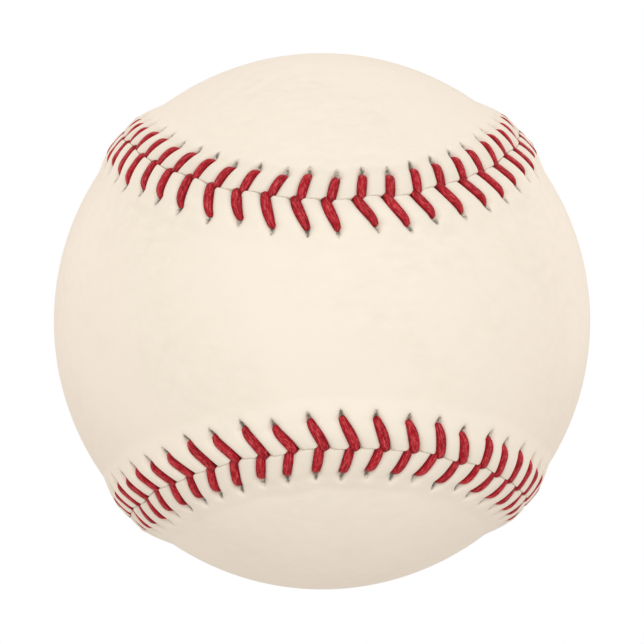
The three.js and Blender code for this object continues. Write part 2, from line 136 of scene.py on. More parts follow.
# Windings
LAYER_GAP = 0.15 * MM
FOUR_PLY_YARN = 2.2 * MM
THREE_PLY_YARN = 1.8 * MM
COTTON_YARN = 0.9 * MM
WOOL_FIBRES = 2600  # to a metre
COTTON_FIBRES = 4200
YARN_BANDS = 150
FEWEST_STRANDS = 3  # in a band
MOST_STRANDS = 6
STRAND_DEPTH = 0.45  # of the gaps between strands, in strand widths

# Stage
FLOOR_REACH = 6.0
FLOOR_GAP = 0.02 * MM
LAMP_WIDTH = 0.5
KEY_PLACE = (0.0, -0.7, 0.24)
LEFT_RIM_PLACE = (-0.55, 0.4, 0.1)
RIGHT_RIM_PLACE = (0.55, 0.4, 0.1)
TOP_RIM_PLACE = (0.0, 0.4, 0.55)
SENSOR_WIDTH = 36
NEAREST_SEEN = 0.005
WHITE = (1, 1, 1, 1)

# Fineness of the surfaces
COLUMNS_PER_STITCH = 18
FIELD_THINNING = 3  # fine columns of the border to one column of the field
THIN_OFFSET = FIELD_THINNING / 2  # puts the field's columns in mirror pairs
BORDER_ROWS = 37
FIELD_ROWS = 18
UNDER_ROWS = 8
UNDER_FIELD_ROWS = 10
THREAD_SIDES = 14
LEG_POINTS = 9
RUN_POINTS = 3
PATH_REFINEMENT = 2
TURNED_SEGMENTS = 96
CORE_ROWS = 48
SHELL_ROWS = 24  # of either side of a cup, and of the inside of a winding
WINDING_SEGMENTS = 256
WINDING_ROWS = 128
ON_AXIS = 1e-9  # a radius below this is 0


def length(name, description, millimetres):
    """A size in metres, whose default is given in millimetres."""
    return FloatProperty(
        name=name, description=description, default=millimetres * MM, unit="LENGTH", precision=5
    )


def share(name, description, default):
    """A plain number, such as a share of the stitch pitch."""
    return FloatProperty(name=name, description=description, default=default, precision=3)


def rotation(name, description, radians):
    """An angle."""
    return FloatProperty(
        name=name, description=description, default=radians, subtype="ANGLE", unit="ROTATION", precision=4
    )


def wattage(name, description, watts):
    """The power of a lamp."""
    return FloatProperty(name=name, description=description, default=watts, unit="POWER", precision=3)


def colour(name, description, red, green, blue):
    """A colour given as it looks on a screen, from 0 to 255, and kept as linear light.

    The standard curve of screens: a straight line for the darkest tones and a power for the rest.
    """
    screen = np.array([red, green, blue]) / 255
    linear = np.where(screen <= 0.04045, screen / 12.92, ((screen + 0.055) / 1.055) ** 2.4)
    return FloatVectorProperty(
        name=name, description=description, subtype="COLOR", size=3, min=0, max=1, default=linear.tolist()
    )


class CoverSizes(bpy.types.PropertyGroup):
    """Sizes of the two leather panels."""

    ball_radius: length("Ball radius", "To the plain leather", 36.7)
    leather: length("Leather", "Thickness of the leather", 1.2)
    waist: length("Waist", "A panel at its narrowest, along the surface", 31.4)
    ripple: share("Ripple", "Of the seam to either side of its plain curve, in radii", 0.0103)
    wobble: share("Wobble", "Of the hand-sewn seam line, in radii", 0.003)
    raised_width: length("Raised width", "From the seam line to flat leather", 6.7)
    crest_inset: length("Crest inset", "From the seam line to where the leather starts to fall", 1.3)
    pillow_height: length("Pillow height", "Of the leather between two legs of thread", 1.0)
    edge_height: length("Edge height", "Of the leather's edge at the seam line", 0.8)
    edge_round: length("Edge round", "Width of the leather's rounded edge", 1.3)
    seam_lift: length("Seam lift", "Of the leather's inner face along the seam", 0.7)
    valley_reach: length("Valley reach", "From a needle hole to where its groove has faded", 2.3)
    hole_depth: length("Hole depth", "Of the dent at a needle hole", 0.25)
    hole_width: length("Hole width", "Half width of the dent at a needle hole", 0.39)
    hole_reach: length("Hole reach", "Of the dent past the thread", 1.8)
    # A darker band along the seam, stronger on the rear panel, which fades between the band's start and
    # end; near the seam line, painted shade is added where the edge slopes into the seam.
    band_start: length("Wear start", "From the seam line to where the handled tone starts to fade", 3.8)
    band_end: length("Wear end", "From the seam line to where the handled tone has faded", 4.7)
    front_band: share("Front wear", "Strength of the handled tone on the front panel", 0.12)
    rear_band: share("Rear wear", "Strength of the handled tone on the rear panel", 0.5)
    seam_shade: share("Seam wear", "Strength of the handled tone that is added at the seam", 0.4)
    seam_reach: length("Seam reach", "From the seam line to where the added tone has faded", 3.2)


class StitchSizes(bpy.types.PropertyGroup):
    """Places of the stitches and sizes of the thread."""

    count: IntProperty(name="Stitches", description="Along the whole seam", default=108, min=8)
    phase: share("Phase", "Of the first stitch, as a share of the pitch", 0.32)
    front_inset: length("Front hole inset", "From the seam line to a hole of the front panel", 3.6)
    rear_inset: length("Rear hole inset", "From the seam line to a hole of the rear panel", 3.3)
    hole_trail: share("Hole trail", "Of the holes behind the point of a stitch, in pitches", 0.33)
    front_lead: share("Front lead", "Of the front leg past the point of a stitch, in pitches", 0.11)
    rear_lead: share("Rear lead", "Of the rear leg past the point of a stitch, in pitches", -0.07)
    bow: share("Bow", "Of each leg towards the next stitch, in pitches", 0.02)
    leg_end: length("Leg end", "Height of a leg's centre at its ends", 0.2)
    arch: length("Arch", "Rise of the middle of a leg over its ends", 0.41)
    unevenness: share("Unevenness", "Of the hand-sewn holes, as a share of inset and pitch", 0.07)
    steeper: share("Steeper stretch", "Lead of the front holes in one stretch, in pitches", 0.22)
    drift: share("Drift", "Of the stitches away from the middle of a waist, in pitches", 0.15)
    thread_width: length("Thread width", "Of a leg on the leather", 1.18)
    end_width: share("End width", "Of a leg at its ends, as a share of the thread width", 0.87)
    front_fullness: share("Front fullness", "Added in the middle of a front leg, in widths", 0.33)
    rear_fullness: share("Rear fullness", "Added in the middle of a rear leg, in widths", 0.2)
    thread_thickness: length("Thread thickness", "Of a leg on the leather", 0.75)
    notch: length("Notch", "Half width of the gap between the edges where the thread goes down", 0.4)
    under_depth: length("Under depth", "Of the runs under the leather, below the plain ball", 0.83)


class CoreSizes(bpy.types.PropertyGroup):
    """Radii of what the cover holds, from the middle outwards."""

    core: length("Core", "Radius of the cork core", 10.3)
    black_inside: length("Black inside", "Inner radius of the black cups", 10.45)
    black_outside: length("Black outside", "Outer radius of the black cups", 14.35)
    black_rim: length("Black rim", "Of each black cup above the middle plane", 0.65)
    washer: length("Washer", "Thickness of the sealing washer", 1.0)
    red_inside: length("Red inside", "Inner radius of the red cups", 14.5)
    red_outside: length("Red outside", "Outer radius of the red cups", 16.9)
    red_rim: length("Red rim", "Of each red cup above the middle plane", 0.075)
    tunnel: length("Tail tunnel", "Radius of the tunnel for the tail of each yarn", 0.8)


class BallColours(bpy.types.PropertyGroup):
    """Colours of the pieces."""

    cream: colour("Cream", "Tinted leather", 248, 236, 219)
    # Darker tone of the band along the seam, and of the painted shade near the seam line.
    seam_band_and_shade: colour("Handled", "Leather along the seam", 238, 226, 209)
    # Smudges of dirt, and painted shade in the grooves beside the thread.
    soil_and_groove_shade: colour("Soil", "Leather in the grooves", 190, 178, 158)
    # Painted shade in the needle holes and in the seam's gap, broken into dusty flecks.
    hole: colour("Hole", "Dust in the needle holes and the seam", 126, 125, 115)
    red: colour("Red", "Thread", 168, 12, 27)
    # Worn strands, and a painted sheen along the middle of the thread.
    light_red: colour("Light red", "Worn strands of the thread", 216, 84, 88)
    # Dark strands, and painted shade in the thread's creases, at its edges and where it goes down into the
    # seam.
    dark_red: colour("Dark red", "Creases of the thread", 84, 6, 16)
    cork: colour("Cork", "Core", 158, 119, 82)
    crumb: colour("Crumb", "Rubber crumb in the core", 70, 48, 36)
    black_rubber: colour("Black rubber", "Inner cups", 32, 32, 34)
    red_rubber: colour("Red rubber", "Outer cups and washer", 160, 54, 44)
    grey_wool: colour("Grey wool", "First and third windings", 142, 141, 136)
    white_wool: colour("White wool", "Second winding", 228, 223, 210)
    cotton: colour("Cotton", "Finishing winding", 240, 236, 224)


class StageSettings(bpy.types.PropertyGroup):
    """Camera and light."""

    distance: length("Distance", "From the camera to the ball's centre", 350)
    lens: FloatProperty(name="Lens", description="Focal length", default=142.2, unit="CAMERA")
    drop: share("Drop", "Of the frame below the ball's centre, as a share of its width", 0.00113)
    tilt: rotation("Tilt", "Of the ball towards the camera", 0.0105)
    pan: rotation("Pan", "Of the ball to the right", 0.0686)
    roll: rotation("Roll", "Of the ball against the clock", 0.0185)
    surround: share("Surround", "Light from all round", 0.77)
    key: wattage("Key", "Power of the lamp above the camera", 1.83)
    side_rim: wattage("Side rims", "Power of each lamp behind the ball's sides", 0.75)
    top_rim: wattage("Top rim", "Power of the lamp behind the ball's top", 0.43)
    warm: colour("Warm light", "Of the room and of the lamps behind", 255, 251, 249)
    cool: colour("Cool light", "Of the lamp above the camera", 236, 247, 253)


def ease(x):
    """A smooth step from 0 to 1 as x goes from 0 to 1: three x squared less two x cubed."""
    x = np.clip(x, 0, 1)
    return x * x * (3 - 2 * x)


def unit(vectors):
    """Vectors scaled to length 1."""
    return vectors / np.linalg.norm(vectors, axis=-1, keepdims=True)


def plain_curve(cover, angle):
    """The plain curve of the seam on a ball of radius 1, and its direction.

    A closed curve of first and third harmonics: across, minus the sum of the sines; up, the difference of
    the cosines; and back, minus the cosine of twice the angle. The sine of the waist's half angle, less the
    ripple, sets the share of each.
    """
    sine = math.sin(cover.waist / (2 * cover.ball_radius) - cover.ripple)
    major = (1 + sine) / 2
    minor = (1 - sine) / 2
    depth = math.sqrt(1 - sine * sine)
    across = -(major * np.sin(angle) + minor * np.sin(3 * angle))
    back = -depth * np.cos(2 * angle)
    up = major * np.cos(angle) - minor * np.cos(3 * angle)
    across_slope = -(major * np.cos(angle) + 3 * minor * np.cos(3 * angle))
    back_slope = 2 * depth * np.sin(2 * angle)
    up_slope = -major * np.sin(angle) + 3 * minor * np.sin(3 * angle)
    direction = unit(np.stack([across_slope, back_slope, up_slope], -1))
    return np.stack([across, back, up], -1), direction


def seam_point(cover, angle, wobble=0):
    """Point of the seam on a ball of radius 1.

    The plain curve, pushed aside by a cosine of a few waves, which is the ripple, and by two sines of many
    waves, which are the wobble.
    """
    point, direction = plain_curve(cover, angle)
    first = np.sin(FIRST_WOBBLE_WAVES * angle)
    second = np.sin(SECOND_WOBBLE_WAVES * angle + SECOND_WOBBLE_LEAD)
    push = wobble * (first + second) - cover.ripple * np.cos(RIPPLE_WAVES * angle)
    return unit(point + push[..., None] * np.cross(point, direction))


def seam_line(cover, angle):
    """Point, direction and side of the seam on a ball of radius 1.

    The point wobbles. The direction is that of a small step along the seam without its wobble. The side is
    the cross product of point and direction, which points into the front panel.
    """
    point = seam_point(cover, angle, cover.wobble)
    direction = unit(seam_point(cover, angle + SMALL_TURN) - seam_point(cover, angle - SMALL_TURN))
    return point, direction, unit(np.cross(point, direction))


def seam_angle(cover, stitches, place):
    """Angle of the seam's curve at a number of pitches from the first stitch.

    Pitches are equal lengths of seam, but for a drift: a sine with a wave for each of the four times that
    the seam passes a waist, which spreads the stitches there and crowds them between.
    """
    steps = np.linspace(0, FULL_TURN, SEAM_STEPS + 1)
    chords = np.linalg.norm(np.diff(seam_point(cover, steps), axis=0), axis=1)
    pitches = np.concatenate([[0], np.cumsum(chords)]) * stitches.count / np.sum(chords)
    turns, part = np.divmod(place + stitches.phase, stitches.count)
    part = part + stitches.drift * np.sin(DRIFT_WAVES * FULL_TURN * part / stitches.count)
    return turns * FULL_TURN + np.interp(part, pitches, steps)


def beside_seam(cover, angle, inset):
    """Unit directions at an inset from the seam, towards the front panel where it is positive.

    A turn from the seam's point towards its side, by the inset over the ball's radius.
    """
    point, _, side = seam_line(cover, angle)
    turn = (inset / cover.ball_radius)[..., None]
    return np.cos(turn) * point + np.sin(turn) * side


def sewn_places(stitches, front):
    """Inset of each hole of a panel and its place in pitches from the point of its stitch.

    Both are uneven, as by hand. In one stretch the front holes trail less, by a bell curve.
    """
    seed = FRONT_HOLE_SEED if front else REAR_HOLE_SEED
    draws = np.random.default_rng(seed).uniform(-1, 1, (2, stitches.count))
    even_inset = stitches.front_inset if front else stitches.rear_inset
    inset = even_inset * (1 + stitches.unevenness * draws[0])
    place = -stitches.hole_trail + stitches.unevenness * draws[1]
    if front:
        away = (np.arange(stitches.count) - STEEP_STITCH) / STEEP_SPREAD
        place += stitches.steeper * np.exp(-(away**2))
    return inset, place


def leg_place(stitches, inset, lead, hole_inset, hole_place):
    """Where a leg lies, in pitches from the point of its stitch.

    A straight slant from the lead at the seam line to the hole, plus a bow of half a sine wave. Past the
    hole the line goes on with a share of the slant.
    """
    along = np.clip(inset / hole_inset, 0, 1)
    past = np.clip(inset / hole_inset - 1, 0, None)
    slanted = (hole_place - lead) * (along + SLANT_PAST_HOLE * past)
    return lead + slanted + stitches.bow * np.sin(np.pi * along)


def leg_height(stitches, along):
    """Height of a leg's centre line, from its hole (0) to the seam (1): an arch that leans to the hole."""
    return stitches.leg_end + stitches.arch * np.sin(np.pi * along**ARCH_LEAN)


def leg_width(stitches, along, front):
    """Width of a leg as a share of the thread's, from its hole (0) to the seam (1).

    The width at its ends, plus a half sine wave that leans to the seam, to a power below 1.
    """
    fullness = np.where(front, stitches.front_fullness, stitches.rear_fullness)
    half_wave = np.clip(np.sin(np.pi * along**FULL_LEAN), 0, 1)
    return stitches.end_width + fullness * half_wave**FULL_POWER


def wrapped(x):
    """A number of pitches less the nearest whole number."""
    return x - np.round(x)


def rolled_edge(cover, inset):
    """Share of the full height at an inset from the edge: a quarter circle."""
    return np.sqrt(1 - (1 - np.clip(inset / cover.edge_round, 0, 1)) ** 2)


def leather_relief(cover, stitches, front, inset, hole_inset, past_hole, apart, half_pitch):
    """Height of the leather over the plain ball, and how far it is in a groove and in a hole.

    Between legs it swells into pillows: a quarter circle at the edge, and a dome's fall from the crest to
    the flat leather. Along the seam a pillow falls to the groove as a power of the distance from its
    middle. Past its hole a groove narrows and fades, with a drop-shaped dent in it: a bell curve across,
    which eases in before the hole and out over the last half of its reach.
    """
    crest = cover.edge_height + (cover.pillow_height - cover.edge_height) * rolled_edge(cover, inset)
    fall = np.clip((inset - cover.crest_inset) / (cover.raised_width - cover.crest_inset), 0, 1)
    crest = crest * (1 - fall**2) ** DOME_POWER
    faded = ease(past_hole / cover.valley_reach)
    along = np.clip(-past_hole / hole_inset, 0, 1)
    trough = leg_height(stitches, along) - GROOVE_DEPTH * stitches.thread_thickness
    floor = crest + (trough - crest) * (1 - faded)
    leg = stitches.thread_width * leg_width(stitches, along, front)
    flat = GROOVE_FLOOR * leg * (1 - FLOOR_TAPER * ease(past_hole / cover.hole_reach))
    rise = np.clip((np.abs(apart) - flat) / (half_pitch - flat), 0, 1)
    swell = 1 - (1 - rise) ** SWELL_POWER
    groove = (1 - swell) * (1 - faded)
    reach = np.clip(past_hole / cover.hole_reach, 0, 1)
    half_width = cover.hole_width * (1 - DENT_TAPER * reach)
    dent = np.exp(-((apart / half_width) ** 2)) * ease(1 + past_hole / DENT_START) * ease((1 - reach) * 2)
    height = floor + (crest - floor) * swell - cover.hole_depth * dent
    return height, groove, dent


def band_faces(fine, coarse, thinning):
    """Triangles between two closed rings, a fine one and one with a corner to each group of fine corners.

    The first half of each group of fine edges fans to the coarse corner behind, the rest to the next.
    """
    groups = fine.reshape(-1, thinning)
    groups = np.column_stack([groups, np.roll(groups[:, 0], -1)])
    following = np.roll(coarse, -1)
    middle = thinning // 2 + 1
    faces = [np.column_stack([groups[:, i], groups[:, i + 1], coarse]) for i in range(middle)]
    faces += [np.column_stack([groups[:, i], groups[:, i + 1], following]) for i in range(middle, thinning)]
    faces.append(np.column_stack([groups[:, middle], following, coarse]))
    return np.concatenate(faces)


def corner_numbers(first, columns, rows):
    """Numbers of a grid's corners, counted on from the first one."""
    return first + np.arange(columns * rows).reshape(columns, rows)


def ring_quads(index):
    """Quads of a grid of corner numbers whose columns close into rings."""
    following = np.roll(index, -1, axis=0)
    corners = [index[:, :-1], following[:, :-1], following[:, 1:], index[:, 1:]]
    return np.stack(corners, -1).reshape(-1, 4)


def without_pinched(quads):
    """Quads whose last two corners differ, and the others as triangles."""
    pinched = quads[:, 2] == quads[:, 3]
    return quads[~pinched], quads[pinched, :3]


def slide_between(start, end, steps):
    """Unit vectors along the great circle from start to end, by the sine rule, in equal turns."""
    angle = np.arccos(np.clip(np.sum(start * end, -1), -1, 1))[:, None, None]
    along = np.linspace(0, 1, steps + 1)[None, 1:, None]
    from_start = np.sin((1 - along) * angle) * start[:, None]
    from_end = np.sin(along * angle) * end[:, None]
    return (from_start + from_end) / np.sin(angle)


def spine_points(ring, mirror_axis):
    """Points of a panel's middle line: each ring point and its mirror image meet on the mirror plane.

    The line stops short of the panel's rounded ends, so that columns there fan out from its end.
    """
    flat = ring.copy()
    flat[:, mirror_axis] = 0
    flat = unit(flat)
    lateral = 2 - mirror_axis
    facing = -1 if mirror_axis == 2 else 1
    bearing = SPINE_REACH * np.arctan2(flat[:, lateral], facing * flat[:, 1])
    spine = np.zeros_like(flat)
    spine[:, lateral] = np.sin(bearing)
    spine[:, 1] = facing * np.cos(bearing)
    return spine


def field_grid(ring, spine, owner, rows, first):
    """Directions on great circles from a ring to a panel's middle line, and their corner numbers.

    A column ends in its owner's last corner, so that mirror partners meet.
    """
    index = corner_numbers(first, len(ring), rows)
    index[:, -1] = index[owner, -1]
    return slide_between(ring, spine, rows).reshape(-1, 3), index


def raised_border(cover, stitches, front, place, angle):
    """A panel's border: insets, directions, points and marks on a grid of seam angle by inset.

    Rows crowd towards the edge: their inset is a straight line plus a cube. Notches push the edge aside.
    The points are raised by leather_relief, from the nearest leg and its hole.
    """
    lead = stitches.front_lead if front else stitches.rear_lead
    middle = (stitches.front_lead + stitches.rear_lead) / 2
    from_notch = np.abs(wrapped(place - middle))
    opening = stitches.notch * np.clip((NOTCH_END - from_notch) / NOTCH_SLOPE, LEAST_GAP, 1)
    spread = np.linspace(0, 1, BORDER_ROWS)
    crowded = (1 - ROW_CROWDING) * spread + ROW_CROWDING * spread**3
    inset = BORDER_REACH * cover.raised_width * crowded[None, :]
    moved = inset + opening[:, None] * (1 - ease(inset / NOTCH_REACH))
    spots = beside_seam(cover, angle, moved if front else -moved)
    two_columns = np.linalg.norm(np.roll(spots, -1, 0) - np.roll(spots, 1, 0), axis=-1) * cover.ball_radius
    half_pitch = COLUMNS_PER_STITCH / 2 * two_columns / 2

    # The nearest leg is found by the even places, and then measured by its own
    hole_inset, hole_place = sewn_places(stitches, front)
    even = leg_place(stitches, moved, lead, np.mean(hole_inset), -stitches.hole_trail)
    number = np.round(place[:, None] - even).astype(int)
    stitch = number % stitches.count
    hole_inset = hole_inset[stitch]
    leg = leg_place(stitches, moved, lead, hole_inset, hole_place[stitch])
    apart = (place[:, None] - number - leg) * 2 * half_pitch
    past_hole = moved - hole_inset
    around = (inset, hole_inset, past_hole, apart, half_pitch)
    height, groove, dent = leather_relief(cover, stitches, front, *around)
    points = spots * (cover.ball_radius + height)[..., None]

    # A darker band along the seam, stronger on the rear panel; close to the seam line it adds painted shade
    # where the edge slopes down.
    wear = 1 - ease((moved - cover.band_start) / (cover.band_end - cover.band_start))
    wear = wear * (cover.front_band if front else cover.rear_band)
    wear = wear + cover.seam_shade * (1 - ease(moved / cover.seam_reach))
    # Painted shade: the dents of the needle holes, and a thin line at the edge where the seam's gap lies.
    grey = np.maximum(dent, SEAM_LINE_SHADE * np.exp(-((inset / SEAM_LINE_SHADE_WIDTH) ** 2)))
    return moved, spots, points, {"wear": wear, "groove": groove, "grey": grey}


def cover_panel(cover, stitches, front):
    """One leather panel as a closed surface.

    The border is a raised grid; the field is a coarser grid of arcs from the border to the panel's middle
    line; the inner face repeats both, lower by the leather's thickness and lifted along the seam.
    """
    radius = cover.ball_radius
    columns = stitches.count * COLUMNS_PER_STITCH
    place = (np.arange(columns) + THIN_OFFSET) / COLUMNS_PER_STITCH - stitches.phase
    angle = seam_angle(cover, stitches, place)[:, None]
    moved, spots, border, border_marks = raised_border(cover, stitches, front, place, angle)

    # Each column of the field meets its mirror partner at one point of the middle line
    thin = np.arange(0, columns, FIELD_THINNING)
    mirror_axis = 2 if front else 0
    ring = spots[thin, -1]
    partner = ((len(thin) // 2 if front else 0) - 1 - np.arange(len(thin))) % len(thin)
    spine = spine_points(ring, mirror_axis)
    spine = unit(spine + spine[partner])
    owner = np.minimum(np.arange(len(thin)), partner)
    grid = corner_numbers(0, columns, BORDER_ROWS)
    turned, field = field_grid(ring, spine, owner, FIELD_ROWS, grid.size)
    points = [border.reshape(-1, 3), turned * radius]
    field_quads, field_ends = without_pinched(ring_quads(field))
    quads = [ring_quads(grid), field_quads]
    triangles = [band_faces(grid[:, -1], field[:, 0], FIELD_THINNING), field_ends]

    under_spread = np.linspace(0, 1, UNDER_ROWS)
    under_inset = moved[thin, :1] * (1 - under_spread) + moved[thin, -1:] * under_spread
    under_spots = beside_seam(cover, angle[thin], under_inset if front else -under_inset)
    falling = (under_inset / cover.raised_width - LEVEL_LIFT) / (1 - LEVEL_LIFT)
    lift = cover.seam_lift * (1 - ease(falling))
    under = under_spots * (radius - cover.leather + lift)[..., None]
    under_grid = corner_numbers(grid.size + field.size, len(thin), UNDER_ROWS)
    following = grid.size + field.size + under_grid.size
    under_turned, under_field = field_grid(under_spots[:, -1], spine, owner, UNDER_FIELD_ROWS, following)
    points += [under.reshape(-1, 3), under_turned * (radius - cover.leather)]
    under_quads, under_ends = without_pinched(ring_quads(np.column_stack([under_grid, under_field])))
    quads.append(under_quads[:, ::-1])
    triangles.append(under_ends[:, ::-1])
    triangles.append(band_faces(grid[:, 0], under_grid[:, 0], FIELD_THINNING)[:, ::-1])

    unmarked = np.zeros(field.size + under_grid.size + under_field.size)
    marks = {name: np.append(values, unmarked) for name, values in border_marks.items()}
    return np.concatenate(points), np.concatenate(quads), np.concatenate(triangles), marks


def smooth_path(points, refinement):
    """Extra points between given ones, on Catmull-Rom cubics through each run of four."""
    padded = np.concatenate([points[:1], points, points[-1:]])
    before, start, end, after = padded[:-3], padded[1:-2], padded[2:-1], padded[3:]
    pieces = []
    for t in np.arange(refinement) / refinement:
        pull = (end - before) * t
        bend = (2 * before - 5 * start + 4 * end - after) * t**2
        swing = (3 * start - before - 3 * end + after) * t**3
        pieces.append(start + 0.5 * (pull + bend + swing))
    smooth = np.stack(pieces, 1).reshape(-1, points.shape[1])
    return np.concatenate([smooth, points[-1:]])


def sewn_run(stitches, first_way):
    """Rows of (pitches, inset, height, width, thickness, outward way, slant, sunk) for one needle.

    Each stitch comes up through its hole, lies along the groove to the seam, goes down between the edges
    and under the other panel to the next hole. The stitches change panels in turn.
    """
    number = np.arange(stitches.count)
    way = first_way * np.where(number % 2 == 0, 1, -1)[:, None]
    lead = np.where(way > 0, stitches.front_lead, stitches.rear_lead)
    front_inset, front_place = sewn_places(stitches, True)
    rear_inset, rear_place = sewn_places(stitches, False)
    hole_inset = np.where(way > 0, front_inset[:, None], rear_inset[:, None])
    hole_place = np.where(way > 0, front_place[:, None], rear_place[:, None])
    along = np.linspace(0, 1, LEG_POINTS)[None, :]
    inset = hole_inset * (1 - along) - LEG_OVERLAP * along
    leg = leg_place(stitches, inset, lead, hole_inset, hole_place)
    leg_ones = np.ones_like(leg)
    slant = (lead - hole_place) * SEAM_PITCH / hole_inset
    crossing = ease((along - CROSSING_START) / CROSSING_SPAN)
    over = np.where(way > 0, CROSSING_RISE, 0.0) * crossing
    height = leg_height(stitches, along) + over - HOLE_DIP * (1 - ease(along / HOLE_DIP_SPAN))
    width = leg_width(stitches, along, way > 0)
    sunk = ease((along - 1) / SUNK_SPAN + 1) * leg_ones

    next_inset, next_place, next_slant = (np.roll(v, -1, 0) for v in (hole_inset, hole_place, slant))
    under_along = np.linspace(0, 1, RUN_POINTS + 2)[None, :]
    under = lead + (1 + next_place - lead) * under_along
    under_ones = np.ones_like(under)
    ones = np.ones((stitches.count, 1))
    none = 0 * ones
    passing = PASS_SHARE * ones
    small = UNDER_SHARE * under_ones
    low = -stitches.under_depth * under_ones
    columns = [
        np.concatenate([hole_place, leg, lead, under], 1) + number[:, None],
        np.concatenate([hole_inset, inset, none, -next_inset * under_along], 1) * way,
        np.concatenate([-HOLE_PASS_DEPTH * ones, height, -SEAM_PASS_DEPTH * ones, low], 1),
        np.concatenate([passing, width, SEAM_PASS_WIDTH * ones, small], 1),
        np.concatenate([passing, leg_ones, passing, small], 1),
        np.concatenate([ones, leg_ones, ones, (1 - 2 * under_along) * ones], 1) * way,
        np.concatenate([slant, slant * (1 - crossing), none, -next_slant * under_along], 1) * way,
        np.concatenate([none, sunk, ones, under_ones], 1),
    ]
    return np.stack(columns, -1).reshape(-1, len(columns))


def lacing_thread(cover, stitches):
    """The whole thread as one closed tube.

    Its path is one needle's run followed backwards, a place under the seam before the first stitch, and
    the other needle's run. Its section is an ellipse laid by the seam's direction, with a crease on the
    outside that wanders to either side, between two plies.
    """
    middle = np.array([[START_PLACE, 0, -stitches.under_depth, UNDER_SHARE, UNDER_SHARE, 0, 0, 1]])
    tucked = RUN_POINTS - 1
    first = sewn_run(stitches, 1)[:-tucked]
    second = sewn_run(stitches, -1)[:-tucked]
    rows = smooth_path(np.concatenate([first[::-1], middle, second]), PATH_REFINEMENT)
    place, inset, height, wide, thick, out, slant, sunk = rows.T
    angle = seam_angle(cover, stitches, place)
    centre = beside_seam(cover, angle, inset) * (cover.ball_radius + height)[:, None]
    _, direction, side = seam_line(cover, angle)
    direction = direction + slant[:, None] * side
    run = unit(np.gradient(centre, axis=0))
    width = unit(direction - np.sum(direction * run, -1, keepdims=True) * run)
    thickness = np.cross(run, width)
    travelled = np.concatenate([[0], np.cumsum(np.linalg.norm(np.diff(centre, axis=0), axis=1))])

    turn = np.linspace(0, FULL_TURN, THREAD_SIDES, endpoint=False)[None, :]
    across = np.cos(turn) + 0 * out[:, None]
    outside = np.clip(np.sin(turn) * out[:, None], 0, 1)
    wander = CREASE_WANDER * np.sin(travelled / CREASE_STEP)[:, None]
    crease = outside * np.exp(-(((across - wander) / CREASE_WIDTH) ** 2))
    half_width = 0.5 * stitches.thread_width * wide[:, None] * np.cos(turn)
    half_thick = 0.5 * stitches.thread_thickness * thick[:, None] * np.sin(turn)
    half_thick = half_thick * (1 - CREASE_DEPTH * crease)
    tube = centre[:, None] + half_width[..., None] * width[:, None]
    tube = tube + half_thick[..., None] * thickness[:, None]

    rings = len(rows)
    index = corner_numbers(0, rings, THREAD_SIDES)
    ends = index.size + np.arange(2)
    quads = ring_quads(index.T)
    caps = [
        np.column_stack([np.roll(index[0], -1), index[0], np.full(THREAD_SIDES, ends[0])]),
        np.column_stack([index[-1], np.roll(index[-1], -1), np.full(THREAD_SIDES, ends[1])]),
    ]
    points = np.concatenate([tube.reshape(-1, 3), centre[[0, -1]]])
    pad = np.zeros(2)
    marks = {
        "across": np.concatenate([across.ravel(), pad]),
        "along": np.concatenate([np.repeat(travelled / MM, THREAD_SIDES), pad]),
        "crease": np.concatenate([crease.ravel(), pad]),
        "sunk": np.concatenate([np.repeat(sunk, THREAD_SIDES), pad]),
    }
    return points, quads, np.concatenate(caps), marks


def turned_piece(radius, height, segments=TURNED_SEGMENTS, closed=False):
    """A profile of radius and height turned about the Y axis; a radius of 0 at either end is a pole."""
    radius = np.asarray(radius, float)
    height = np.asarray(height, float)
    turn = np.linspace(0, FULL_TURN, segments, endpoint=False)[:, None]
    first = 1 if not closed and radius[0] == 0 else 0
    last = len(radius) - (1 if not closed and radius[-1] == 0 else 0)
    body = slice(first, last)
    level = height[body] + 0 * turn
    points = np.stack([radius[body] * np.sin(turn), level, radius[body] * np.cos(turn)], -1)
    index = corner_numbers(0, *level.shape)
    wide = np.column_stack([index, index[:, :1]]) if closed else index
    quads = ring_quads(wide)
    poles = []
    triangles = np.zeros((0, 3), int)
    for end, column, flip in ((0, 0, 1), (-1, -1, -1)):
        if closed or radius[end] != 0:
            continue
        number = level.size + len(poles)
        poles.append([0, height[end], 0])
        ring = index[:, column]
        fan = np.column_stack([np.roll(ring, -1), ring, np.full(segments, number)])[:, ::flip]
        triangles = np.concatenate([triangles, fan])
    points = np.concatenate([points.reshape(-1, 3), np.array(poles).reshape(-1, 3)])
    return points, quads, triangles


def arc(radius, start, end, steps):
    """Radius and height of points along a circle, from one angle off the axis to another."""
    angle = np.linspace(start, end, steps + 1)
    across = radius * np.sin(angle)
    across[np.abs(across) < ON_AXIS] = 0
    return across, radius * np.cos(angle)


def cup(outside, inside, rim, way):
    """Half of a hollow ball about the Y axis, with its rim at a height above the middle plane."""
    outer = arc(outside, 0, math.acos(rim / outside), SHELL_ROWS)
    inner = arc(inside, math.acos(rim / inside), 0, SHELL_ROWS)
    radius = np.concatenate([outer[0], inner[0]])
    height = np.concatenate([outer[1], inner[1]]) * way
    return turned_piece(radius, height)


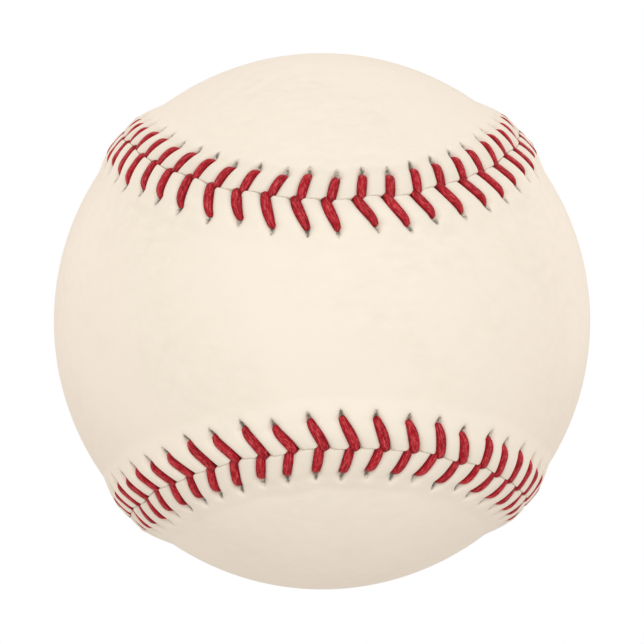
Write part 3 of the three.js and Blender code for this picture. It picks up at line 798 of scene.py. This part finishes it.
def wound_layer(outside, inside, tunnel, yarn, seed):
    """A winding: a turned shell with a tunnel, whose outer side carries bands of yarn.

    Each band runs round a great circle of seeded direction, a few strands wide, and lies over the bands
    before it. A strand's height is a half circle across its width.
    """
    outer = arc(outside, math.asin(tunnel / outside), math.pi, WINDING_ROWS)
    inner = arc(inside, math.pi, math.asin(tunnel / inside), SHELL_ROWS)
    radius = np.concatenate([inner[0], outer[0]])
    height = np.concatenate([inner[1], outer[1]])
    points, quads, triangles = turned_piece(radius, height, WINDING_SEGMENTS)
    distance = np.linalg.norm(points, axis=1)
    on_outside = distance > (outside + inside) / 2
    bearing = points / distance[:, None]
    draws = np.random.default_rng(seed)
    axes = unit(draws.normal(size=(YARN_BANDS, 3)))
    strands = draws.integers(FEWEST_STRANDS, MOST_STRANDS + 1, size=YARN_BANDS)
    tone = np.zeros(len(points))
    relief = np.full(len(points), -1.0)
    for axis, strand_count, shade in zip(axes, strands, draws.uniform(-1, 1, YARN_BANDS)):
        offset = np.arcsin(np.clip(bearing @ axis, -1, 1)) * outside / yarn
        covered = np.abs(offset) < strand_count / 2
        place = (offset + strand_count / 2) % 1
        relief = np.where(covered, np.sqrt(np.clip(1 - (2 * place - 1) ** 2, 0, 1)) - 1, relief)
        tone = np.where(covered, shade, tone)
    lowered = np.where(on_outside, relief * STRAND_DEPTH * yarn, 0)
    points = bearing * (distance + lowered)[:, None]
    marks = {"tone": tone, "strand": relief + 1}
    return points, quads, triangles, marks


class Wire:
    """One output socket of a finish, so that shader maths is written as Python expressions."""

    def __init__(self, finish, socket):
        self.finish = finish
        self.socket = socket

    def __add__(self, other):
        return self.finish.maths("ADD", self, other)

    def __radd__(self, other):
        return self.finish.maths("ADD", other, self)

    def __sub__(self, other):
        return self.finish.maths("SUBTRACT", self, other)

    def __rsub__(self, other):
        return self.finish.maths("SUBTRACT", other, self)

    def __mul__(self, other):
        return self.finish.maths("MULTIPLY", self, other)

    def __rmul__(self, other):
        return self.finish.maths("MULTIPLY", other, self)

    def __pow__(self, other):
        return self.finish.maths("POWER", self, other)


class Finish:
    """A procedural material on one Principled shader."""

    def __init__(self, name):
        self.material = bpy.data.materials.new(name)
        self.material.use_nodes = True
        self.tree = self.material.node_tree
        self.shader = self.tree.nodes["Principled BSDF"]

    def node(self, kind, settings=None, inputs=None, output=0):
        """Adds a node of a kind, with its settings first and then the values or links of its sockets."""
        made = self.tree.nodes.new("ShaderNode" + kind)
        for key, value in (settings or {}).items():
            setattr(made, key, value)
        for key, value in (inputs or {}).items():
            self.feed(made.inputs[key], value)
        return Wire(self, made.outputs[output])

    def feed(self, socket, value):
        """Links a wire to a socket, or sets the socket's own value."""
        if isinstance(value, Wire):
            self.tree.links.new(value.socket, socket)
        else:
            socket.default_value = value

    def maths(self, operation, first, second):
        """A Math node."""
        return self.node("Math", {"operation": operation}, {0: first, 1: second})

    def clamp(self, value):
        """A value held between 0 and 1."""
        return self.node("Clamp", None, {"Value": value})

    def ramp(self, value, start, slope):
        """0 up to a start, then a straight rise to 1."""
        return self.clamp((value - start) * slope)

    def mix(self, factor, first, second):
        """A colour between two colours."""
        return self.node("Mix", {"data_type": "RGBA"}, {0: factor, 6: first, 7: second}, output=2)

    def mark(self, name):
        """A number that the mesh carries at each corner."""
        return self.node("Attribute", {"attribute_name": name}, None, output=2)

    def place(self, scale=(1, 1, 1)):
        """Object coordinates, stretched."""
        where = self.node("TexCoord", None, None, output=3)
        return self.node("Mapping", None, {"Vector": where, "Scale": scale})

    def noise(self, where, scale, detail=2.0, roughness=0.5):
        """Noise from 0 to 1, of a scale in blobs to a metre."""
        sockets = {"Vector": where, "Scale": scale, "Detail": detail, "Roughness": roughness}
        return self.node("TexNoise", None, sockets)

    def cells(self, where, scale):
        """Distance to the nearest of many scattered points, of a scale in points to a metre."""
        return self.node("TexVoronoi", None, {"Vector": where, "Scale": scale})

    def bump(self, height, strength, distance, under=None):
        """A surface normal tilted by a height."""
        sockets = {"Strength": strength, "Distance": distance, "Height": height}
        if under is not None:
            sockets["Normal"] = under
        return self.node("Bump", None, sockets)

    def surface(self, **sockets):
        """Sets or links sockets of the shader, named with underscores for spaces."""
        for key, value in sockets.items():
            self.feed(self.shader.inputs[key.replace("_", " ")], value)
        return self.material


def solid(colour_property, tone=1.0):
    """A colour property, darkened by a tone, as the four numbers of a colour socket."""
    return (*(tone * c for c in colour_property), 1)


def leather_finish(colours):
    """Cream leather with pores, soft creases and smudges; a darker band along the seam with painted shade
    near the seam line; painted shade in the grooves; and needle holes and the seam line painted dark grey
    as shade, broken into dusty flecks.
    """
    f = Finish("stitched_leather")
    where = f.place()
    cloud = f.noise(where, scale=90, detail=3) - 0.5
    grain = f.cells(where, scale=2600)
    pores = f.noise(where, scale=5200, detail=3)
    creases = f.noise(where, scale=420, detail=4, roughness=0.6)
    # Darker band along the seam, with painted shade near the seam line.
    seam_band_and_shade = f.clamp(f.mark("wear") - cloud * 0.12)
    base = f.mix(seam_band_and_shade, solid(colours.cream), solid(colours.seam_band_and_shade))
    smudges = f.noise(f.place((0.6, 1, 1)), scale=700, detail=4, roughness=0.6)
    patches = f.noise(where, scale=60)
    smudged = f.ramp(smudges, start=0.3, slope=2.5) * f.ramp(patches, start=0.3, slope=2.5)
    base = f.mix(smudged * 0.14, base, solid(colours.soil_and_groove_shade))
    # Painted shade in the grooves beside the legs of thread.
    base = f.mix(f.mark("groove") * 0.06, base, solid(colours.soil_and_groove_shade))
    # Painted shade in the needle holes and the seam's gap, broken into dusty flecks.
    flecks = f.noise(where, scale=2400) * 3.6 - 0.9
    hole_and_seam_shade = f.mark("grey") * 1.5 - 0.2
    base = f.mix(f.clamp(hole_and_seam_shade * flecks), base, solid(colours.hole))
    fine = f.bump(grain * 0.6 + pores * 0.5, strength=0.16, distance=0.08 * MM)
    normal = f.bump(creases, strength=0.1, distance=0.35 * MM, under=fine)
    rough = 0.5 + cloud * 0.12 + f.mark("groove") * 0.1
    return f.surface(Base_Color=base, Roughness=rough, Normal=normal, Specular_IOR_Level=0.12)


def thread_finish(colours):
    """Waxed red thread: strands along it, worn strands with a painted sheen along its middle, dark strands,
    and painted shade in creases, at its edges and where it goes down into the seam.
    """
    f = Finish("waxed_red_thread")
    across = f.mark("across")
    along = f.mark("along")
    strand_place = f.node("CombineXYZ", None, {0: across * 2.6, 1: along * 0.55, 2: 0.0})
    strands = f.noise(strand_place, scale=1.6, detail=3)
    fuzz_place = f.node("CombineXYZ", None, {0: across * 1.6, 1: along * 1.2, 2: 4.0})
    fuzz = f.noise(fuzz_place, scale=1.8, detail=3, roughness=0.65)
    across_squared = across**2.0
    # Worn strands, made lighter towards the middle of the thread: a painted sheen.
    worn_and_sheen = f.ramp(strands * 0.5 + fuzz * 0.5 - across_squared * 0.12, start=0.44, slope=5)
    base = f.mix(worn_and_sheen, solid(colours.red), solid(colours.light_red))
    # Painted shade: darker at the thread's edges, in its creases and where it goes down into the seam; the
    # rest is dark strands.
    edge = f.ramp(across_squared, start=0.3, slope=0.8)
    strands_and_shade = f.mark("crease") * 0.45 + (0.48 - strands) * 2.0 + edge + f.mark("sunk") * 0.3
    base = f.mix(f.clamp(strands_and_shade), base, solid(colours.dark_red))
    normal = f.bump(strands * 0.7 + fuzz * 0.3, strength=0.5, distance=0.15 * MM)
    return f.surface(Base_Color=base, Roughness=0.55, Normal=normal, Specular_IOR_Level=0.16)


def yarn_finish(name, yarn_colour, fibre_scale):
    """Wound yarn: bands of slightly different tone, with painted shade between strands, and fine fibres."""
    f = Finish(name)
    fibres = f.noise(f.place(), fibre_scale, detail=4, roughness=0.7)
    bands = f.clamp(0.5 + f.mark("tone") * 0.4)
    # Painted shade in the gaps between strands.
    gap_shade = f.clamp(1 - f.mark("strand") * 1.6)
    base = f.mix(bands, solid(yarn_colour, tone=0.8), solid(yarn_colour))
    base = f.mix(gap_shade, base, solid(yarn_colour, tone=0.35))
    base = f.mix(f.ramp(fibres, start=0.55, slope=2), base, solid(yarn_colour, tone=0.7))
    normal = f.bump(fibres, strength=0.5, distance=0.2 * MM)
    return f.surface(Base_Color=base, Roughness=0.92, Normal=normal, Sheen_Weight=0.3)


def rubber_finish(name, rubber_colour):
    """Moulded rubber with faint flow marks."""
    f = Finish(name)
    flow = f.noise(f.place((1, 3, 1)), scale=160, detail=4)
    speck = f.noise(f.place(), scale=1800)
    marked = f.ramp(flow, start=0.35, slope=0.9)
    base = f.mix(marked, solid(rubber_colour), solid(rubber_colour, tone=0.75))
    normal = f.bump(speck, strength=0.15, distance=0.1 * MM)
    return f.surface(Base_Color=base, Roughness=0.55 + flow * 0.2, Normal=normal)


def cork_finish(colours):
    """Ground cork in rubber: scattered dark crumbs between pale grains."""
    f = Finish("cork_and_rubber")
    where = f.place()
    grain = f.cells(where, scale=420)
    crumbs = f.noise(where, scale=300, detail=3)
    base = f.mix(f.clamp(grain * 0.8), solid(colours.cork), solid(colours.cork, tone=0.7))
    base = f.mix(f.ramp(crumbs, start=0.56, slope=9), base, solid(colours.crumb))
    normal = f.bump(grain, strength=0.5, distance=0.4 * MM)
    return f.surface(Base_Color=base, Roughness=0.85, Normal=normal)


def outward(points, faces):
    """Six times the volume that faces enclose: positive if they point outwards."""
    a, b, c = points[faces[:, 0]], points[faces[:, 1]], points[faces[:, 2]]
    return np.einsum("ij,ij->", a, np.cross(b, c))


def add_piece(name, shape, material, node, marks=None):
    """Makes a smooth mesh object from corners, quads and triangles, in place of one CAD node.

    Its faces are turned to point outwards, and corners that no face uses are dropped.
    """
    points, quads, triangles = shape
    halves = np.concatenate([quads[:, [0, 1, 2]], quads[:, [0, 2, 3]], triangles])
    if outward(points, halves) < 0:
        quads = quads[:, ::-1]
        triangles = triangles[:, ::-1]
    used, renumbered = np.unique(np.concatenate([quads.ravel(), triangles.ravel()]), return_inverse=True)
    corners = renumbered.astype(np.int32)
    starts = np.concatenate([4 * np.arange(len(quads)), 4 * len(quads) + 3 * np.arange(len(triangles))])
    mesh = bpy.data.meshes.new(name)
    mesh.vertices.add(len(used))
    mesh.vertices.foreach_set("co", points[used].astype(np.float32).ravel())
    mesh.loops.add(len(corners))
    mesh.loops.foreach_set("vertex_index", corners)
    mesh.polygons.add(len(starts))
    mesh.polygons.foreach_set("loop_start", starts.astype(np.int32))
    mesh.polygons.foreach_set("use_smooth", np.ones(len(starts), dtype=bool))
    mesh.update(calc_edges=True)
    if mesh.validate():
        raise RuntimeError(name + " has faulty faces")
    for key, values in (marks or {}).items():
        layer = mesh.attributes.new(key, "FLOAT", "POINT")
        layer.data.foreach_set("value", values[used].astype(np.float32))
    mesh.materials.append(material)
    piece = bpy.data.objects.new(name, mesh)
    bpy.context.scene.collection.objects.link(piece)
    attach(piece, "root")
    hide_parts(node)


class BASEBALL_OT_cover(bpy.types.Operator):
    """Make the two leather panels"""

    bl_idname = "baseball.cover"
    bl_label = "Cover"

    def execute(self, context):
        scene = context.scene
        finish = leather_finish(scene.ball_colours)
        for side in ("front", "rear"):
            *shape, marks = cover_panel(scene.cover_sizes, scene.stitch_sizes, side == "front")
            add_piece("leather_panel_" + side, shape, finish, "cover_panel_" + side, marks)
        return {"FINISHED"}


class BASEBALL_OT_thread(bpy.types.Operator):
    """Make the lacing thread"""

    bl_idname = "baseball.thread"
    bl_label = "Thread"

    def execute(self, context):
        scene = context.scene
        *shape, marks = lacing_thread(scene.cover_sizes, scene.stitch_sizes)
        finish = thread_finish(scene.ball_colours)
        add_piece("lacing_thread", shape, finish, "stitch_thread", marks)
        return {"FINISHED"}


class BASEBALL_OT_windings(bpy.types.Operator):
    """Make the wool and cotton windings"""

    bl_idname = "baseball.windings"
    bl_label = "Windings"

    def execute(self, context):
        colours = context.scene.ball_colours
        tunnel = context.scene.core_sizes.tunnel
        grey = yarn_finish("grey_wool_yarn", colours.grey_wool, WOOL_FIBRES)
        white = yarn_finish("white_wool_yarn", colours.white_wool, WOOL_FIBRES)
        cotton = yarn_finish("cotton_yarn", colours.cotton, COTTON_FIBRES)
        layers = (
            ("first_wool_winding", FOUR_PLY_YARN, grey, "grey_wool"),
            ("second_wool_winding", THREE_PLY_YARN, white, "white_wool"),
            ("third_wool_winding", THREE_PLY_YARN, grey, "grey_wool"),
            ("cotton_winding", COTTON_YARN, cotton, "cotton"),
        )
        inside = context.scene.core_sizes.red_outside + LAYER_GAP
        for seed, (node, yarn, finish, slot) in enumerate(layers):
            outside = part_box(node)[1][1]
            *shape, marks = wound_layer(outside, inside, tunnel, yarn, seed)
            add_piece(node.replace("winding", "yarn"), shape, finish, node, marks)
            inside = outside + LAYER_GAP
        return {"FINISHED"}


class BASEBALL_OT_pill(bpy.types.Operator):
    """Make the cork core, the rubber cups and the washer"""

    bl_idname = "baseball.pill"
    bl_label = "Pill"

    def execute(self, context):
        colours = context.scene.ball_colours
        sizes = context.scene.core_sizes
        black = rubber_finish("black_moulded_rubber", colours.black_rubber)
        red = rubber_finish("red_moulded_rubber", colours.red_rubber)
        core = turned_piece(*arc(sizes.core, 0, math.pi, CORE_ROWS))
        add_piece("cork_ball", core, cork_finish(colours), "cork_core")
        half = sizes.washer / 2
        rim = math.sqrt(sizes.black_outside**2 - half**2)
        radius = [sizes.black_inside, rim, rim, sizes.black_inside]
        washer = turned_piece(radius, [-half, -half, half, half], closed=True)
        add_piece("rubber_washer", washer, red, "sealing_washer")
        for side, way in (("front", -1), ("rear", 1)):
            inner = cup(sizes.black_outside, sizes.black_inside, sizes.black_rim, way)
            outer = cup(sizes.red_outside, sizes.red_inside, sizes.red_rim, way)
            add_piece("black_cup_" + side, inner, black, "black_rubber_cup_" + side)
            add_piece("red_cup_" + side, outer, red, "red_rubber_cup_" + side)
        return {"FINISHED"}


class BASEBALL_OT_stage(bpy.types.Operator):
    """Make the floor, the lights and the camera"""

    bl_idname = "baseball.stage"
    bl_label = "Stage"

    def add_lamp(self, name, power, tone, place):
        """A round soft lamp that faces the ball."""
        data = bpy.data.lights.new(name, "AREA")
        data.shape = "DISK"
        data.size = LAMP_WIDTH
        data.energy = power
        data.color = tone
        lamp = bpy.data.objects.new(name, data)
        lamp.location = place
        lamp.rotation_euler = Vector(place).to_track_quat("Z", "Y").to_euler()
        bpy.context.scene.collection.objects.link(lamp)

    def add_floor(self, scene):
        """A white plane under the ball, which is clear from below and gives no light or shadow."""
        f = Finish("white_floor")
        glow = f.node("Emission", None, {"Color": WHITE, "Strength": 1.0})
        clear = f.node("BsdfTransparent")
        behind = f.node("NewGeometry", None, None, output=6)
        shown = f.node("MixShader", None, {0: behind, 1: glow, 2: clear})
        f.tree.links.new(shown.socket, f.tree.nodes["Material Output"].inputs["Surface"])
        level = min(CAD_BOX[0][2], -scene.cover_sizes.ball_radius) - FLOOR_GAP
        ways = ((-1, -1), (1, -1), (1, 1), (-1, 1))
        corners = [(x * FLOOR_REACH, y * FLOOR_REACH, level) for x, y in ways]
        mesh = bpy.data.meshes.new("floor")
        mesh.from_pydata(corners, [], [(0, 1, 2, 3)])
        mesh.materials.append(f.material)
        floor = bpy.data.objects.new("floor", mesh)
        floor.visible_diffuse = False
        floor.visible_glossy = False
        floor.visible_shadow = False
        scene.collection.objects.link(floor)

    def add_room(self, scene, settings):
        """An even light from all round, which the camera sees as white."""
        room = bpy.data.worlds.new("white_room")
        room.use_nodes = True
        scene.world = room
        tree = room.node_tree
        shone = tree.nodes["Background"]
        seen = tree.nodes.new("ShaderNodeBackground")
        path = tree.nodes.new("ShaderNodeLightPath")
        both = tree.nodes.new("ShaderNodeMixShader")
        shone.inputs["Color"].default_value = solid(settings.warm)
        shone.inputs["Strength"].default_value = settings.surround
        seen.inputs["Color"].default_value = WHITE
        tree.links.new(path.outputs["Is Camera Ray"], both.inputs[0])
        tree.links.new(shone.outputs[0], both.inputs[1])
        tree.links.new(seen.outputs[0], both.inputs[2])
        tree.links.new(both.outputs[0], tree.nodes["World Output"].inputs["Surface"])

    def add_camera(self, scene, settings):
        """A camera that looks at the ball's centre as if the ball were tilted, panned and rolled."""
        turned = (
            Matrix.Rotation(settings.roll, 3, "Z")
            @ Matrix.Rotation(settings.pan, 3, "Y")
            @ Matrix.Rotation(settings.tilt, 3, "X")
        )
        screen = Matrix(((1, 0, 0), (0, 0, 1), (0, -1, 0)))
        axes = (turned @ screen).transposed()
        data = bpy.data.cameras.new("camera")
        data.lens = settings.lens
        data.sensor_width = SENSOR_WIDTH
        data.shift_y = -settings.drop
        data.clip_start = NEAREST_SEEN
        camera = bpy.data.objects.new("camera", data)
        camera.matrix_world = Matrix.Translation(axes @ Vector((0, 0, settings.distance))) @ axes.to_4x4()
        scene.collection.objects.link(camera)
        scene.camera = camera

    def execute(self, context):
        scene = context.scene
        settings = scene.stage_settings
        self.add_floor(scene)
        self.add_room(scene, settings)
        self.add_lamp("key", settings.key, settings.cool, KEY_PLACE)
        self.add_lamp("left_rim", settings.side_rim, settings.warm, LEFT_RIM_PLACE)
        self.add_lamp("right_rim", settings.side_rim, settings.warm, RIGHT_RIM_PLACE)
        self.add_lamp("top_rim", settings.top_rim, settings.warm, TOP_RIM_PLACE)
        self.add_camera(scene, settings)
        scene.view_settings.view_transform = "Standard"
        return {"FINISHED"}


class BASEBALL_PT_parts(bpy.types.Panel):
    """Lists the pieces of the ball"""

    bl_idname = "BASEBALL_PT_parts"
    bl_label = "Baseball"
    bl_space_type = "VIEW_3D"
    bl_region_type = "UI"
    bl_category = "Baseball"

    def draw(self, context):
        for operator in OPERATORS:
            self.layout.operator(operator.bl_idname)
        for name in SETTINGS:
            group = getattr(context.scene, name)
            for key in group.__annotations__:
                self.layout.prop(group, key)


SETTINGS = {
    "cover_sizes": CoverSizes,
    "stitch_sizes": StitchSizes,
    "core_sizes": CoreSizes,
    "ball_colours": BallColours,
    "stage_settings": StageSettings,
}
OPERATORS = (
    BASEBALL_OT_stage,
    BASEBALL_OT_cover,
    BASEBALL_OT_thread,
    BASEBALL_OT_windings,
    BASEBALL_OT_pill,
)


def register():
    """Registers the classes and hangs the settings on the scene."""
    for group in (*SETTINGS.values(), *OPERATORS, BASEBALL_PT_parts):
        bpy.utils.register_class(group)
    for name, group in SETTINGS.items():
        setattr(bpy.types.Scene, name, PointerProperty(type=group))


def unregister():
    """Takes back what register did."""
    for name in SETTINGS:
        delattr(bpy.types.Scene, name)
    for group in reversed((*SETTINGS.values(), *OPERATORS, BASEBALL_PT_parts)):
        bpy.utils.unregister_class(group)


def main():
    """Makes the stage and the pieces in order."""
    register()
    bpy.ops.baseball.stage()
    bpy.ops.baseball.cover()
    bpy.ops.baseball.thread()
    bpy.ops.baseball.windings()
    bpy.ops.baseball.pill()


if __name__ == "__main__":
    main()
